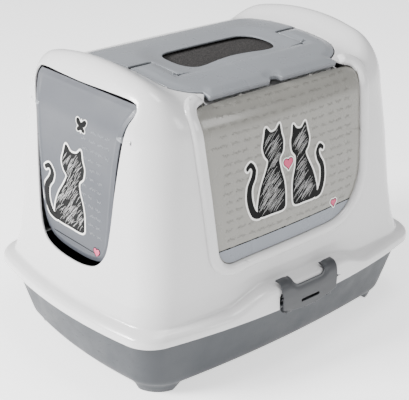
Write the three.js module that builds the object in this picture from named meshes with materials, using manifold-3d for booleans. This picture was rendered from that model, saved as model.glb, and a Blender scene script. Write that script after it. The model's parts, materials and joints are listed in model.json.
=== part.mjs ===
// Hooded cat litter box: a grey pan, a white hood lifted off it, a swing flap at one end,
// a curved flip-up panel on one long side, and a folding carry handle over a carbon filter.
// Millimetres, +Z up. Origin: centre of the footprint, on the floor.
// The entry flap faces -Y and the flip-up panel faces +X.
import * as THREE from 'three';
import { mergeVertices } from 'three/addons/utils/BufferGeometryUtils.js';
import Module from 'manifold-3d';

const wasm = await Module();
wasm.setup();

// ---- driving dimensions -------------------------------------------------------------------
const WALL = 2.8;             // moulded wall of the hood
const TRAY_WALL = 3.0;        // moulded wall of the pan
const HALF_WIDTH = 182.5;     // skirt, at the middle of a long side
const HALF_LENGTH = 241.5;    // skirt, at the middle of an end
const HEIGHT = 374;           // top of the two roof ridges
const SKIRT_Z = 85;           // lower edge of the hood
const FLOOR_Z = 10.6;         // underside of the pan between its feet
const SHOULDER_Z = 300;       // where the walls start to round over into the roof
const BUMP = 16;              // rise of the ledge beside each latch
const BUMP_NEAR = 58;         // the ledge is at its full rise closer to the latch than this
const BUMP_FAR = 116;         // and back at its normal height beyond this
const SADDLE_Z = 356;         // roof height along the middle, between the ridges
const RIDGE_Y = 160;          // the two ridge crowns
const SADDLE_Y = 134;         // where the rise to a ridge starts
const ROOF_ARCH = 24;         // fall of the roof from its middle to ARCH_X
const ARCH_X = 148;
const WELL_FRONT = 109;       // front of the grey handle's rounded outline, and of the roof well
const LIP_FRONT = 118;        // front edge of the lip on the handle's bar
const LIP_HALF = 99;          // half length of that lip
const WELL_BACK = -86;
const WELL_HALF = 131;        // half length of the lid and handle
const WELL_DEPTH = 14;
const WELL_CORNER = 14;       // back corners of the well, sharper so that the lid can swing
const LID_CORNER = 22;
const WELL_WALL = 6;
const GAP = 1.2;              // visible gap round the lid, the panel and the flap
const PIVOT_X = 22;           // handle pins
const PIVOT_DROP = 4.5;
const AXLE_Z = 305;           // flap axle
const AXLE_Y = -190.5;
const HINGE_X = 119.6;        // top edge of the flip-up panel
const LATCH_HALF = 46;        // half width of a latch
const ROD_X = 176.8;          // latch rods
const ROD_Z = 79.5;
const RING_SIDE = 6;          // segments on a half side, a corner and a half end
const RING_CORNER = 5;
const RING_END = 5;

// ---- solids ------------------------------------------------------------------------------
function solid(geometry) {
  geometry.deleteAttribute('normal');
  geometry.deleteAttribute('uv');
  const merged = mergeVertices(geometry, 1e-4);
  const vertProperties = new Float32Array(merged.attributes.position.array);
  const triVerts = new Uint32Array(merged.index.array);
  return new wasm.Manifold(new wasm.Mesh({ numProp: 3, vertProperties, triVerts }));
}

function geometryOf(body) {
  const mesh = body.getMesh();
  const geometry = new THREE.BufferGeometry();
  geometry.setAttribute('position', new THREE.BufferAttribute(mesh.vertProperties, 3));
  geometry.setIndex(new THREE.BufferAttribute(mesh.triVerts, 1));
  geometry.computeVertexNormals();
  return geometry;
}

function block(low, high) {
  const geometry = new THREE.BoxGeometry(high[0] - low[0], high[1] - low[1], high[2] - low[2]);
  geometry.translate((low[0] + high[0]) / 2, (low[1] + high[1]) / 2, (low[2] + high[2]) / 2);
  return solid(geometry);
}

// A cylinder along Y (axis 'y') or X (axis 'x').
function rod(axis, radius, from, to, [u, z], sides = 12) {
  const geometry = new THREE.CylinderGeometry(radius, radius, to - from, sides);
  if (axis === 'x') {
    geometry.rotateZ(-Math.PI / 2);
    geometry.translate((from + to) / 2, u, z);
  } else {
    geometry.translate(u, (from + to) / 2, z);
  }
  return solid(geometry);
}

// Extrudes an outline of [u, v] points. plane 'xy' runs along Z, 'yz' along X, 'xz' along Y.
function prism(outline, plane, from, to) {
  const shape = new THREE.Shape(outline.map(([u, v]) => new THREE.Vector2(u, v)));
  const geometry = new THREE.ExtrudeGeometry(shape, { depth: to - from, bevelEnabled: false });
  geometry.translate(0, 0, from);
  const axes = {
    xy: [[1, 0, 0], [0, 1, 0], [0, 0, 1]],
    yz: [[0, 1, 0], [0, 0, 1], [1, 0, 0]],
    xz: [[-1, 0, 0], [0, 0, 1], [0, 1, 0]],
  }[plane].map((v) => new THREE.Vector3(...v));
  geometry.applyMatrix4(new THREE.Matrix4().makeBasis(...axes));
  return solid(geometry);
}

// ---- plan outline: four bowed sides joined by round corners --------------------------------
// a, b: half width and half length at the middle of the sides; bowX, bowY: how far a side
// falls back over its half length; r: corner radius.
function ring({ a, b, bowX, bowY, r }) {
  const radiusX = (b * b + bowX * bowX) / (2 * bowX);
  const radiusY = (a * a + bowY * bowY) / (2 * bowY);
  const centreX = a - radiusX;
  const centreY = b - radiusY;
  let u = a - r;
  let v = b - r;
  for (let i = 0; i < 25; i++) {
    const f = (u - centreX) ** 2 + v * v - (radiusX - r) ** 2;
    const g = u * u + (v - centreY) ** 2 - (radiusY - r) ** 2;
    const [fu, fv, gu, gv] = [2 * (u - centreX), 2 * v, 2 * u, 2 * (v - centreY)];
    const det = fu * gv - fv * gu;
    u -= (f * gv - g * fv) / det;
    v -= (g * fu - f * gu) / det;
  }
  const cornerFrom = Math.atan2(v, u - centreX);
  const cornerTo = Math.PI / 2 - Math.atan2(u, v - centreY);
  const quarter = [];
  for (let i = 0; i < RING_SIDE; i++) {
    const t = (cornerFrom * i) / RING_SIDE;
    quarter.push([centreX + radiusX * Math.cos(t), radiusX * Math.sin(t)]);
  }
  for (let i = 0; i < RING_CORNER; i++) {
    const t = cornerFrom + ((cornerTo - cornerFrom) * i) / RING_CORNER;
    quarter.push([u + r * Math.cos(t), v + r * Math.sin(t)]);
  }
  for (let i = 0; i <= RING_END; i++) {
    const t = (Math.PI / 2 - cornerTo) * (1 - i / RING_END);
    quarter.push([radiusY * Math.sin(t), centreY + radiusY * Math.cos(t)]);
  }
  const back = quarter.slice(0, -1).reverse().map(([x, y]) => [-x, y]);
  const left = quarter.slice(1).map(([x, y]) => [-x, -y]);
  const front = quarter.slice(1, -1).reverse().map(([x, y]) => [x, -y]);
  return [...quarter, ...back, ...left, ...front];
}

const inset = (level, t) => ({ ...level, a: level.a - t, b: level.b - t, r: Math.max(level.r - t, 4) });

// A closed solid through rings of [x, y, z] points, one above the other, with flat-fan ends.
function loft(rings) {
  const count = rings[0].length;
  const positions = rings.flat(2);
  const centres = [rings[0], rings.at(-1)].map((points) =>
    [0, 1, 2].map((k) => points.reduce((sum, p) => sum + p[k], 0) / count));
  positions.push(...centres.flat());
  const bottom = rings.length * count;
  const top = bottom + 1;
  const index = [];
  for (let i = 0; i < count; i++) {
    const j = (i + 1) % count;
    for (let k = 0; k < rings.length - 1; k++) {
      const [p, q] = [k * count, (k + 1) * count];
      index.push(p + i, p + j, q + j, p + i, q + j, q + i);
    }
    index.push(bottom, j, i);
    index.push(top, (rings.length - 1) * count + i, (rings.length - 1) * count + j);
  }
  const geometry = new THREE.BufferGeometry();
  geometry.setAttribute('position', new THREE.Float32BufferAttribute(positions, 3));
  geometry.setIndex(index);
  return solid(geometry);
}

const smooth = (t) => {
  const s = Math.min(Math.max(t, 0), 1);
  return s * s * (3 - 2 * s);
};
const bumpAt = (y) => BUMP * smooth((BUMP_FAR - Math.abs(y)) / (BUMP_FAR - BUMP_NEAR));
const archAt = (x) => SADDLE_Z - ROOF_ARCH * (x / ARCH_X) ** 2;
const roofAt = (x, y) =>
  archAt(x) + (HEIGHT - SADDLE_Z) * smooth((Math.abs(y) - SADDLE_Y) / (RIDGE_Y - SADDLE_Y));

// ---- hood ----------------------------------------------------------------------------------
// rise: share of the bump by the latches that a level takes.
const SKIRT = { a: HALF_WIDTH, b: HALF_LENGTH, bowX: 33, bowY: 26, r: 41 };
const LEDGE = { a: 162, b: 228, bowX: 14, bowY: 22, r: 44 };
const HOOD_WALL = [
  { ...SKIRT, z: SKIRT_Z, rise: 0 },
  { ...SKIRT, z: SKIRT_Z + 9, rise: 1 },
  { ...inset(SKIRT, 4), z: SKIRT_Z + 13, rise: 1 },
  { ...LEDGE, z: SKIRT_Z + 16, rise: 0.9 },
  { a: 157, b: 220, bowX: 13, bowY: 20, r: 44, z: 124, rise: 0.3 },
  { a: 153, b: 213, bowX: 12, bowY: 18, r: 45, z: 165, rise: 0 },
  { a: 147, b: 206, bowX: 12, bowY: 15, r: 47, z: 240, rise: 0 },
  { a: 141, b: 199, bowX: 12, bowY: 13, r: 50, z: SHOULDER_Z, rise: 0 },
];
const DOME_X = 28;            // how far the shoulder rounding runs in, across and along
const DOME_Y = 39;
const DOME_STEPS = [18, 36, 54, 72, 90];
const ROOF_STEPS = [0.84, 0.6, 0.3];

// The hood's outer skin as a solid; with t, the same skin moved in by the wall.
function hoodSkin(t) {
  const rings = HOOD_WALL.map((level, k) => {
    const drop = k === 0 ? 10 * Math.sign(t) : k < 4 ? t : 0;
    const points = ring(inset(level, t));
    return points.map(([x, y]) => [x, y, level.z + level.rise * bumpAt(y) - drop]);
  });
  const shoulder = HOOD_WALL.at(-1);
  const dome = (degrees) => {
    const angle = (degrees * Math.PI) / 180;
    const run = 1 - Math.cos(angle);
    const level = {
      a: shoulder.a - DOME_X * run, b: shoulder.b - DOME_Y * run,
      bowX: shoulder.bowX, bowY: shoulder.bowY, r: shoulder.r - 16 * run,
    };
    const lift = Math.sin(angle);
    return ring(inset(level, t * Math.cos(angle))).map(([x, y]) =>
      [x, y, SHOULDER_Z + (roofAt(x, y) - SHOULDER_Z) * lift - t * lift]);
  };
  const rounded = DOME_STEPS.map(dome);
  const crown = rounded.at(-1);
  const roof = ROOF_STEPS.map((s) => crown.map(([x, y]) => [x * s, y * s, roofAt(x * s, y * s) - t]));
  return loft([...rings, ...rounded, ...roof]);
}

// Outline of the roof well, the lid and the handle, seen from above.
function wellOutline(grow, backRadius) {
  const [low, high, half] = [WELL_BACK - grow, WELL_FRONT + grow, WELL_HALF + grow];
  const corner = (cx, cy, radius, from) => Array.from({ length: 5 }, (_, i) => {
    const angle = ((from + i * 22.5) * Math.PI) / 180;
    return [cx + radius * Math.cos(angle), cy + radius * Math.sin(angle)];
  });
  const [big, small] = [46 + grow, backRadius + grow];
  return [
    ...corner(high - big, half - big, big, 0),
    ...corner(low + small, half - small, small, 90),
    ...corner(low + small, small - half, small, 180),
    ...corner(high - big, big - half, big, 270),
  ];
}

// A slab that follows the roof's arch across X, from `under` to `over` relative to the roof.
function archSlab(under, over, from = WELL_BACK - 20, to = LIP_FRONT + 20) {
  const steps = Array.from({ length: 13 }, (_, i) => from + ((to - from) * i) / 12);
  const lower = steps.map((x) => [x, archAt(x) + under]);
  const upper = steps.map((x) => [x, archAt(x) + over]).reverse();
  return prism([...lower, ...upper].map(([x, z]) => [-x, z]), 'xz', -160, 160);
}

const wellPrism = (grow, backRadius) => prism(wellOutline(grow, backRadius), 'xy', 250, 420)
  .add(block([WELL_FRONT - 30, -LIP_HALF - grow, 250], [LIP_FRONT + grow, LIP_HALF + grow, 420]));

// Side panel outline in Y and Z: a small lower corner at -Y and a wide sweep at +Y.
function panelOutline(shrink) {
  const shape = new THREE.Path();
  const [left, right, low] = [-122 + shrink, 126 - shrink, 149 + shrink];
  shape.moveTo(left - 4, 380);
  shape.lineTo(left - 4, 320);
  shape.lineTo(left + 8, 168);
  shape.quadraticCurveTo(left + 12, low, left + 34, low);
  shape.lineTo(30, low + 4);
  shape.bezierCurveTo(90, low + 8, right - 6, low + 34, right - 5, 216);
  shape.lineTo(right, 330);
  shape.lineTo(right - 2, 380);
  return shape.getPoints(6).map((p) => [p.x, p.y]);
}

// The side opening as a prism along X; in plan its top corners draw in towards the handle's lip.
function panelCut(shrink = 0) {
  const plan = [[HINGE_X - 0.4, 103], [124, 106], [130, 113], [136, 130], [210, 130]]
    .map(([x, y]) => [x + (shrink > 0 ? 0.4 : 0), y - shrink]);
  const both = [...plan, ...plan.map(([x, y]) => [x, -y]).reverse()].reverse();
  return prism(panelOutline(shrink), 'yz', HINGE_X - 0.4, 210).intersect(prism(both, 'xy', 100, 420));
}

// Entry opening outline in X and Z: narrow below, flared at the top. headroom lowers the top edge.
function entryOutline(shrink, headroom = 0) {
  const half = [[30, 144], [52, 150], [66, 168], [72, 196], [77, 240], [82, 282], [86, 305],
    [91, 322], [96, 336], [92, 345], [60, 350], [24, 349]];
  const points = half.map(([x, z]) => [x - shrink, z + (z < 160 ? shrink : z > 340 ? -headroom : 0)]);
  return [...points, ...points.map(([x, z]) => [-x, z]).reverse()];
}

const hoodOuter = hoodSkin(0);
const hoodInner = hoodSkin(WALL);
const shell = hoodOuter.subtract(hoodInner);
const entryCut = prism(entryOutline(0).map(([x, z]) => [-x, z]), 'xz', -260, -150);

function makeHood() {
  const roofSlab = archSlab(-WELL_DEPTH - 2.6, -0.4).intersect(hoodOuter);
  let hood = shell.add(wellPrism(WELL_WALL, WELL_CORNER).intersect(roofSlab));
  hood = hood.subtract(wellPrism(GAP, WELL_CORNER).intersect(archSlab(-WELL_DEPTH, 40)));
  const frontWall = block([WELL_FRONT - 10, -LIP_HALF - 2, 300], [LIP_FRONT + 10, LIP_HALF + 2, 400]);
  const aroundWell = wellPrism(WELL_WALL + 1, WELL_CORNER).intersect(archSlab(-6, 40));
  hood = hood.subtract(frontWall.intersect(aroundWell));
  for (const y of [-70, 70]) {
    hood = hood.subtract(block([WELL_FRONT, y - 10, 322], [LIP_FRONT + 12, y + 10, 345]));
  }
  for (let k = -3; k <= 3; k++) {
    hood = hood.subtract(block([-6, k * 20 - 5, 325], [42, k * 20 + 5, 345]));
  }
  hood = hood.subtract(entryCut).subtract(panelCut());
  const boss = rod('x', 6, 88.5, 98, [AXLE_Y, AXLE_Z]).intersect(hoodOuter);
  const bore = rod('x', 2.9, 80, 95, [AXLE_Y, AXLE_Z]);
  for (const side of [-1, 1]) {
    hood = hood.add(side > 0 ? boss : boss.mirror([1, 0, 0]));
    hood = hood.subtract(side > 0 ? bore : bore.mirror([1, 0, 0]));
    const pin = rod('y', 3.0, WELL_HALF - 2, WELL_HALF + 4.6, [PIVOT_X, archAt(PIVOT_X) - PIVOT_DROP]);
    hood = hood.subtract(side > 0 ? pin : pin.mirror([0, 1, 0]));
    const recess = block([175.6, -LATCH_HALF - 0.6, 70], [200, LATCH_HALF + 0.6, 124]);
    hood = hood.subtract(side > 0 ? recess : recess.mirror([1, 0, 0]));
  }
  return hood;
}

// ---- flip-up panel: the piece of the shell that fills the side opening ------------------------
function makePanel() {
  let panel = shell.intersect(panelCut(GAP));
  const hingeZ = roofAt(HINGE_X, 0) - 1;
  const hook = Array.from({ length: 7 }, (_, i) => ((-36 - i * 9) * Math.PI) / 180);
  const arc = (radius, angles) => angles.map((t) =>
    [-(HINGE_X + radius * Math.cos(t)), hingeZ + radius * Math.sin(t)]);
  const outline = [...arc(11.4, hook), ...arc(9.2, [...hook].reverse())];
  for (const y of [-70, 70]) panel = panel.add(prism(outline, 'xz', y - 7, y + 7));
  return panel;
}

// ---- swing flap ------------------------------------------------------------------------------
function makeDoor() {
  const profile = [[-197, 130], [-196.5, 200], [-195.5, 270], [-193, 310], [-187, 328], [-173, 348]];
  const inner = profile.map(([y, z]) => [y + 2.4, z]).reverse();
  const plate = prism([...profile, ...inner], 'yz', -120, 120);
  const outline = prism(entryOutline(2.6, 7).map(([x, z]) => [-x, z]), 'xz', -260, -150);
  let door = plate.intersect(outline);
  for (const side of [-1, 1]) {
    const pin = rod('x', 2.4, 74, 94, [AXLE_Y, AXLE_Z]);
    const tab = block([74, AXLE_Y - 3.5, AXLE_Z - 4], [83, AXLE_Y + 1, AXLE_Z + 4]);
    const pivot = pin.add(tab);
    door = door.add(side > 0 ? pivot : pivot.mirror([1, 0, 0]));
  }
  return door;
}

// ---- lid, handle and filter --------------------------------------------------------------------
// Arms of the handle run along the lid's ends; its front bar carries the finger notch.
// tail: how far the arms reach behind their pins.
function armZone(grow, tail) {
  const arm = (sign) => {
    const [near, far] = [98 - grow, 150];
    return block([PIVOT_X - tail, sign > 0 ? near : -far, 250], [90, sign > 0 ? far : -near, 420]);
  };
  return arm(1).add(arm(-1)).add(block([62 - grow, -150, 250], [140, 150, 420]));
}

function fingerSlot() {
  const slot = new THREE.Path();
  slot.moveTo(-13, -56);
  slot.quadraticCurveTo(-13, -72, 4, -72);
  slot.lineTo(30, -72);
  slot.quadraticCurveTo(52, -72, 52, -52);
  slot.quadraticCurveTo(36, 0, 52, 52);
  slot.quadraticCurveTo(52, 72, 30, 72);
  slot.lineTo(4, 72);
  slot.quadraticCurveTo(-13, 72, -13, 56);
  slot.quadraticCurveTo(-20, 0, -13, -56);
  return prism(slot.getPoints(4).map((p) => [p.x, p.y]), 'xy', 250, 420);
}

function makeLid() {
  const outline = wellPrism(0, LID_CORNER);
  const slab = archSlab(-3.6, 0.6).intersect(outline);
  const hinge = rod('y', 2.6, -70, 70, [WELL_BACK + 3.4, archAt(WELL_BACK) - 1.6]);
  return slab.subtract(armZone(0.5, 8.6)).subtract(fingerSlot()).add(hinge.intersect(outline));
}

function makeHandle() {
  let handle = archSlab(-6, 1).intersect(wellPrism(0, LID_CORNER)).intersect(armZone(0, 5));
  const notch = new THREE.CylinderGeometry(9, 9, 60, 16);
  notch.rotateX(Math.PI / 2);
  notch.translate(LIP_FRONT + 2, 0, archAt(LIP_FRONT));
  handle = handle.subtract(solid(notch));
  const pinZ = archAt(PIVOT_X) - PIVOT_DROP;
  for (const side of [-1, 1]) {
    const pin = rod('y', 2.5, WELL_HALF - 4, WELL_HALF + 4, [PIVOT_X, pinZ]);
    handle = handle.add(side > 0 ? pin : pin.mirror([0, 1, 0]));
  }
  return handle;
}

function makeFilter() {
  return archSlab(-WELL_DEPTH + 0.4, -7).intersect(block([-30, -84, 250], [60, 84, 420]));
}

// ---- pan -----------------------------------------------------------------------------------------
const PAN_TOP = { a: 171, b: 230, bowX: 28, bowY: 24, r: 38 };
const PAN_BASE = { a: 147.5, b: 212.5, bowX: 14, bowY: 17, r: 45 };
const RIM_Z = SKIRT_Z - 1;
const PAN_TOP_Z = SKIRT_Z + 8.4;

const level = (shape, z) => ring(shape).map(([x, y]) => [x, y, z]);

function makeTray() {
  const outer = loft([
    level(inset(PAN_BASE, 5), FLOOR_Z), level(PAN_BASE, FLOOR_Z + 6), level(PAN_TOP, RIM_Z),
    level(inset(PAN_TOP, -5.5), RIM_Z + 0.5), level(inset(PAN_TOP, -5.5), RIM_Z + 4),
    level(inset(PAN_TOP, 0), RIM_Z + 4.5), level(inset(PAN_TOP, 0), PAN_TOP_Z),
  ]);
  const hollow = loft([
    level(inset(PAN_BASE, 12), FLOOR_Z + TRAY_WALL), level(inset(PAN_BASE, TRAY_WALL), FLOOR_Z + 12),
    level(inset(PAN_TOP, TRAY_WALL), RIM_Z), level(inset(PAN_TOP, TRAY_WALL), PAN_TOP_Z + 5),
  ]);
  let tray = outer.subtract(hollow);
  const footing = loft([level(inset(PAN_BASE, 11), 0), level(inset(PAN_BASE, 5), FLOOR_Z + 0.6)]);
  for (const [sx, sy] of [[1, 1], [1, -1], [-1, 1], [-1, -1]]) {
    const disc = new THREE.CylinderGeometry(52, 44, FLOOR_Z + 0.8, 24);
    disc.rotateX(Math.PI / 2);
    disc.translate(sx * 128, sy * 190, FLOOR_Z / 2 + 0.2);
    tray = tray.add(footing.intersect(solid(disc)));
  }
  for (const side of [-1, 1]) {
    for (const y of [-25, 25]) {
      const lug = rod('y', 3.6, y - 3, y + 3, [ROD_X, ROD_Z])
        .add(block([168, y - 3, ROD_Z - 3], [ROD_X, y + 3, ROD_Z + 4.6]))
        .subtract(rod('y', 1.75, y - 4, y + 4, [ROD_X, ROD_Z]))
        .subtract(hollow);
      tray = tray.add(side > 0 ? lug : lug.mirror([1, 0, 0]));
    }
  }
  return tray;
}

// ---- latch: a clip hinged on the pan's rim, whose lip hooks over the hood's ledge --------------------
function makeLatch() {
  const section = [[181.4, 72], [184.4, 72], [186.2, 88], [186.4, 100], [185, 111], [181.8, 117.6],
    [177, 120.4], [170.5, 120.4], [169.5, 118], [176, 118], [180.2, 114.6], [182.4, 108], [183, 98],
    [182.8, 88]];
  const face = new THREE.Path();
  face.moveTo(-LATCH_HALF, 122);
  face.lineTo(-LATCH_HALF + 4, 84);
  face.quadraticCurveTo(0, 69, LATCH_HALF - 4, 84);
  face.lineTo(LATCH_HALF, 122);
  const outline = prism(face.getPoints(8).map((p) => [p.x, p.y]), 'yz', 150, 210);
  let latch = prism(section.map(([x, z]) => [-x, z]), 'xz', -60, 60).intersect(outline);
  for (const [from, to] of [[-38, -29], [-20, 20], [29, 38]]) {
    const knuckle = rod('y', 3.4, from, to, [ROD_X, ROD_Z])
      .add(block([ROD_X, from, ROD_Z - 2], [182.6, to, ROD_Z + 2]));
    latch = latch.add(knuckle);
  }
  latch = latch.subtract(block([180, -15, 86], [190, 15, 89.4]));
  return latch.subtract(rod('y', 1.75, -60, 60, [ROD_X, ROD_Z]));
}

// ---- assembly ------------------------------------------------------------------------------------------
const WHITE = { color: '#e2e2e3', roughness: 0.28, metalness: 0 };
const GREY = { color: '#8d9197', roughness: 0.42, metalness: 0 };
const TOP_GREY = { color: '#a2a8af', roughness: 0.38, metalness: 0 };
const SMOKE = { color: '#939ba8', roughness: 0.3, metalness: 0 };
const PRINT = { color: '#b9b8af', roughness: 0.32, metalness: 0 };
const FOAM = { color: '#46413f', roughness: 0.95, metalness: 0 };
const PIN = { color: '#6f7378', roughness: 0.5, metalness: 0 };

const litterBox = new THREE.Group();

function place(name, body, finish) {
  const mesh = new THREE.Mesh(geometryOf(body), new THREE.MeshStandardMaterial(finish));
  mesh.name = name;
  litterBox.add(mesh);
  return mesh;
}

place('tray', makeTray(), GREY);
place('hood_shell', makeHood(), WHITE);
place('flip_panel', makePanel(), PRINT);
place('entry_door', makeDoor(), SMOKE);
place('filter_lid', makeLid(), TOP_GREY);
place('handle', makeHandle(), TOP_GREY);
place('carbon_filter', makeFilter(), FOAM);
const latch = makeLatch();
const latchRod = rod('y', 1.5, -37, 37, [ROD_X, ROD_Z]);
for (const [side, turn] of [['right', false], ['left', true]]) {
  place(`latch_${side}`, turn ? latch.mirror([1, 0, 0]) : latch, GREY);
  place(`latch_rod_${side}`, turn ? latchRod.mirror([1, 0, 0]) : latchRod, PIN);
}

export default litterBox;
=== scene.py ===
# %% [markdown]
# # A covered cat litter pan
# The real object is a set of injection-moulded shells: a grey pan, a glossy white hood, a smoky swing
# flap, a printed flip-up panel, a grey lid and carry handle, and two grey clips. Each piece is thin
# plastic of even thickness, so each is made here as one smooth skin that a Solidify modifier thickens.
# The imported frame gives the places. All working sizes are millimetres, in the frame's axes.

# %% Load the frame
import json
import math

import bpy
import numpy as np
from mathutils import Matrix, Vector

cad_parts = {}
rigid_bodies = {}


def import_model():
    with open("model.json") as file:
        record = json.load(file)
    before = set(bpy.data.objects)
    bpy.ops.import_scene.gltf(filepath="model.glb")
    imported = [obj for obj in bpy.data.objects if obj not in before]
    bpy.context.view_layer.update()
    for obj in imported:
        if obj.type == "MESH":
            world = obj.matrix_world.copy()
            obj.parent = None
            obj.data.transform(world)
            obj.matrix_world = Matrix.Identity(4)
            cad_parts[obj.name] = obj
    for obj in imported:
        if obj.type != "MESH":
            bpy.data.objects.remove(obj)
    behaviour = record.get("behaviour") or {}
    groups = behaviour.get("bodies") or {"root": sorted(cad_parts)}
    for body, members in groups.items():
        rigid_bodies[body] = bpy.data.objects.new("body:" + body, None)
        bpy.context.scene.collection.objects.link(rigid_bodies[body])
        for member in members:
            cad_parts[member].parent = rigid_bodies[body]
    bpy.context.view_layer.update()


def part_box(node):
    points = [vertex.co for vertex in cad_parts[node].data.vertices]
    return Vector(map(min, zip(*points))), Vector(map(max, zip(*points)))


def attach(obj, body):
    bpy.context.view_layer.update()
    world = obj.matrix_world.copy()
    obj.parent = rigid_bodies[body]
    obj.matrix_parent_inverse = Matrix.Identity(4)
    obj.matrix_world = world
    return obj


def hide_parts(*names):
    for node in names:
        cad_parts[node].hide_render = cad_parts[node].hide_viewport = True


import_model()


# %% Sizes read from the frame
def node_box(node):
    """Lowest and highest corner of a frame node, in millimetres."""
    low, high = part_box(node)
    return np.array(low) * 1000, np.array(high) * 1000


HOOD_LOW, HOOD_HIGH = node_box("hood_shell")
PAN_HIGH = node_box("tray")[1]
LID_LOW = node_box("filter_lid")[0]
GRIP_HIGH = node_box("handle")[1]
FLAP_LOW, FLAP_HIGH = node_box("entry_door")
FOAM_LOW, FOAM_HIGH = node_box("carbon_filter")
CLIP_HIGH = node_box("latch_right")[1]
ROD_X, ROD_Z = (sum(node_box("latch_rod_right")) / 2)[[0, 2]]
NOTCH_FALL = 1.2                        # the clip's notch takes this much off the skirt's widest line
HALF_WIDTH = HOOD_HIGH[0] + NOTCH_FALL
HALF_LENGTH = HOOD_HIGH[1]
SKIRT_Z = HOOD_LOW[2]
print("hood", HOOD_LOW, HOOD_HIGH)

# %% [markdown]
# ## The form of the hood
# A moulder draws a hood like this as a plan outline that shrinks as it rises, then rounds over into the
# roof. Three height functions finish it: a low bump in the skirt beside each clip, an arch across the
# roof, and a ridge near each end. Writing them as functions of x and y lets every other piece that lies
# on the hood (panel, lid, handle, print) follow exactly the same form.

# %% Height functions
SHOULDER_Z = 300
SADDLE_Z = 356                          # roof height between the ridges
RIDGE_RISE = HOOD_HIGH[2] - SADDLE_Z + 1.4   # the shoulder takes 1.4 off the crown
ARCH_FALL = 24
ARCH_X = 148
BUMP = 16


def smooth(t):
    """A step with flat ends: 3 s squared minus 2 s cubed, s being t held between 0 and 1."""
    s = np.clip(t, 0, 1)
    return s * s * (3 - 2 * s)


def bump(y):
    """Rise of the skirt beside a clip: full within 58 of the middle, gone beyond 116."""
    return BUMP * smooth((116 - np.abs(y)) / 58)


def arch(x):
    """Height of the roof's middle: it falls with the square of x."""
    return SADDLE_Z - ARCH_FALL * (x / ARCH_X) ** 2


def roof(x, y):
    """The arch, raised to a ridge from 128 to 172 along each half."""
    return arch(x) + RIDGE_RISE * smooth((np.abs(y) - 128) / 44)


print("roof middle", arch(0), "ridge", roof(0, 160))


# %% Plan outline with bowed sides
def side_radius(half, bow):
    """Radius of an arc that falls back by bow over a half length: (half² + bow²) / (2 bow)."""
    return (half * half + bow * bow) / (2 * bow)


def ring(levels, side=40, corner=16, end=28):
    """Plan outlines, one row per level of (half width, half length, bow of the long sides, bow of the
    ends, corner radius). The corner circle touches both arcs, so its centre solves two distance
    equations, found by Newton's steps for all levels at once. Returns x and y, counter-clockwise."""
    a, b, bow_x, bow_y, r = levels[:, :5].T
    radius_x = side_radius(b, bow_x)
    radius_y = side_radius(a, bow_y)
    centre_x = a - radius_x
    centre_y = b - radius_y
    u = a - r
    v = b - r
    for _ in range(25):
        f = (u - centre_x) ** 2 + v * v - (radius_x - r) ** 2
        g = u * u + (v - centre_y) ** 2 - (radius_y - r) ** 2
        fu, fv, gu, gv = 2 * (u - centre_x), 2 * v, 2 * u, 2 * (v - centre_y)
        det = fu * gv - fv * gu
        u = u - (f * gv - g * fv) / det
        v = v - (g * fu - f * gu) / det
    start = np.arctan2(v, u - centre_x)[:, None]
    stop = np.pi / 2 - np.arctan2(u, v - centre_y)[:, None]
    along_side = start * np.linspace(0, 1, side, endpoint=False)
    along_corner = start + (stop - start) * np.linspace(0, 1, corner, endpoint=False)
    along_end = (np.pi / 2 - stop) * np.linspace(1, 0, end + 1)
    x = np.hstack([centre_x[:, None] + radius_x[:, None] * np.cos(along_side),
                   u[:, None] + r[:, None] * np.cos(along_corner),
                   radius_y[:, None] * np.sin(along_end)])
    y = np.hstack([radius_x[:, None] * np.sin(along_side),
                   v[:, None] + r[:, None] * np.sin(along_corner),
                   centre_y[:, None] + radius_y[:, None] * np.cos(along_end)])
    x_all = np.hstack([x, -x[:, -2::-1], -x[:, 1:], x[:, -2:0:-1]])
    y_all = np.hstack([y, y[:, -2::-1], -y[:, 1:], -y[:, -2:0:-1]])
    return x_all, y_all


def resample(levels, height, spacing, passes=3):
    """Rows spread along a profile. Each stretch between two levels gets its length divided by the
    spacing there, and the passes then average each row with its neighbours (1, 2, 1 over 4)."""
    lengths = np.hypot(np.diff(levels[:, 0]), np.diff(height)) + 1e-6
    steps = np.concatenate([[0], np.cumsum(lengths / spacing)])
    wanted = np.linspace(0, steps[-1], int(np.ceil(steps[-1])) + 1)
    rows = np.stack([np.interp(wanted, steps, column) for column in levels.T], 1)
    for _ in range(passes):
        rows[1:-1] = (rows[:-2] + 2 * rows[1:-1] + rows[2:]) / 4
    return rows


# %% Levels of the hood: half width, half length, bows, corner radius, height, bump share, roof share
skirt = [HALF_WIDTH, HALF_LENGTH, 33, 26, 41]
WALL_LEVELS = np.array([
    [*skirt, SKIRT_Z, 0, 0],
    [*skirt, SKIRT_Z + 9, 1, 0],
    [HALF_WIDTH - 4, HALF_LENGTH - 4, 33, 26, 37, SKIRT_Z + 13, 1, 0],
    [162, 228, 14, 22, 44, SKIRT_Z + 16, 0.9, 0],
    [157, 220, 13, 20, 44, 124, 0.3, 0],
    [153, 213, 12, 18, 45, 165, 0, 0],
    [147, 206, 12, 15, 47, 240, 0, 0],
    [141, 199, 12, 13, 50, SHOULDER_Z, 0, 0]], float)
turn = np.radians(np.arange(3, 91, 3))
run = 1 - np.cos(turn)
flat = np.ones_like(turn)
DOME_LEVELS = np.stack([141 - 28 * run, 199 - 39 * run, 12 * flat, 13 * flat, 50 - 16 * run,
                        SHOULDER_Z * flat, 0 * flat, np.sin(turn)], 1)
shrink = np.arange(0.97, 0.52, -0.035)[:, None]
ROOF_LEVELS = np.hstack([DOME_LEVELS[-1, :5] * shrink, SHOULDER_Z + 0 * shrink, 0 * shrink, 1 + 0 * shrink])
control = np.vstack([WALL_LEVELS, DOME_LEVELS, ROOF_LEVELS])


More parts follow.
